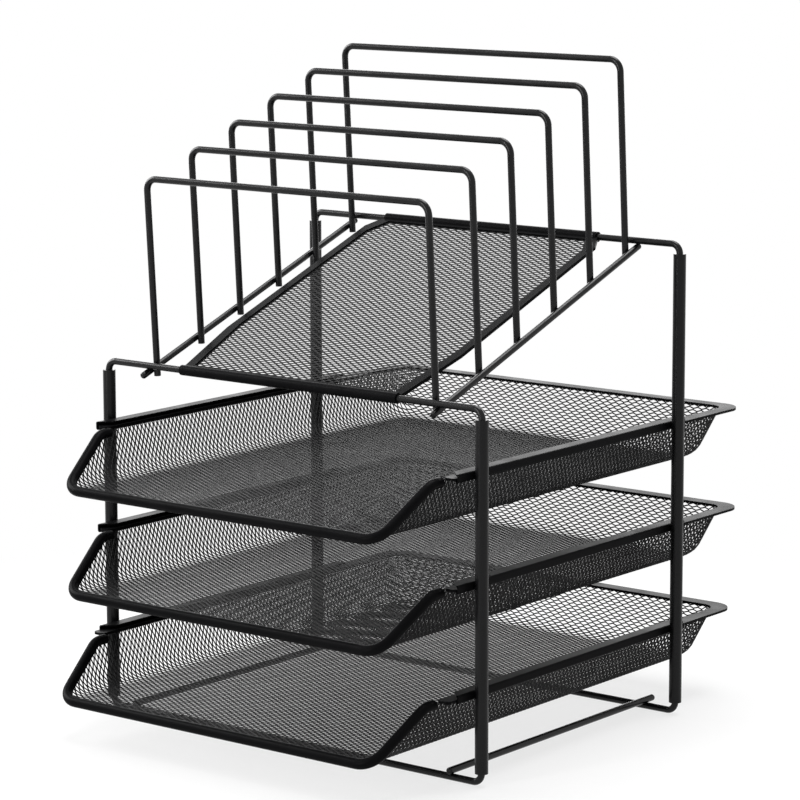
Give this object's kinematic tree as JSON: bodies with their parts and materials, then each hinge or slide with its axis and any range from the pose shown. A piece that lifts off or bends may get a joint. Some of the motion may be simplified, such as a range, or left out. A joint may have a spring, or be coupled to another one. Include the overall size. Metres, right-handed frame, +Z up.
{
  "type": "letter rack",
  "caption": "Black wire and mesh desk letter rack with sliding paper trays and a sloping file sorter with wire dividers on top.",
  "frame": {"origin": "bottom centre of the whole rack's box, on the desk", "axes": "+X to the right along the front, +Y to the back, +Z up"},
  "size_m": [0.2834, 0.3445, 0.3909],
  "materials": {
    "coated_wire": "satin",
    "coated_tube": "satin",
    "coated_sheet": "satin",
    "coated_mesh": "satin"
  },
  "bodies": {
    "rack": {"post_front_left": "coated_tube", "post_front_right": "coated_tube", "post_rear_left": "coated_tube", "post_rear_right": "coated_tube", "front_top_bar": "coated_wire", "front_bottom_bar": "coated_wire", "rear_top_bar": "coated_wire", "rear_bottom_bar": "coated_wire", "base_wire_left": "coated_wire", "base_wire_right": "coated_wire", "sorter_wire_left": "coated_wire", "sorter_wire_right": "coated_wire", "divider_1": "coated_wire", "divider_2": "coated_wire", "divider_3": "coated_wire", "divider_4": "coated_wire", "divider_5": "coated_wire", "divider_6": "coated_wire", "rail_top_left": "coated_sheet", "rail_top_right": "coated_sheet", "rail_middle_left": "coated_sheet", "rail_middle_right": "coated_sheet", "rail_bottom_left": "coated_sheet", "rail_bottom_right": "coated_sheet", "shelf_hem": "coated_sheet", "shelf_mesh": "coated_mesh"},
    "tray_top": {"tray_top_mesh": "coated_mesh", "tray_top_rim": "coated_sheet", "tray_top_front_edge": "coated_sheet"},
    "tray_middle": {"tray_middle_mesh": "coated_mesh", "tray_middle_rim": "coated_sheet", "tray_middle_front_edge": "coated_sheet"},
    "tray_bottom": {"tray_bottom_mesh": "coated_mesh", "tray_bottom_rim": "coated_sheet", "tray_bottom_front_edge": "coated_sheet"}
  },
  "joints": [
    {"name": "tray_top_slide", "type": "slide", "parent": "rack", "child": "tray_top", "axis": [0, -1, 0], "range_m": [-0.004, 0.16]},
    {"name": "tray_middle_slide", "type": "slide", "parent": "rack", "child": "tray_middle", "axis": [0, -1, 0], "range_m": [-0.004, 0.16]},
    {"name": "tray_bottom_slide", "type": "slide", "parent": "rack", "child": "tray_bottom", "axis": [0, -1, 0], "range_m": [-0.0105, 0.1535]}
  ]
}
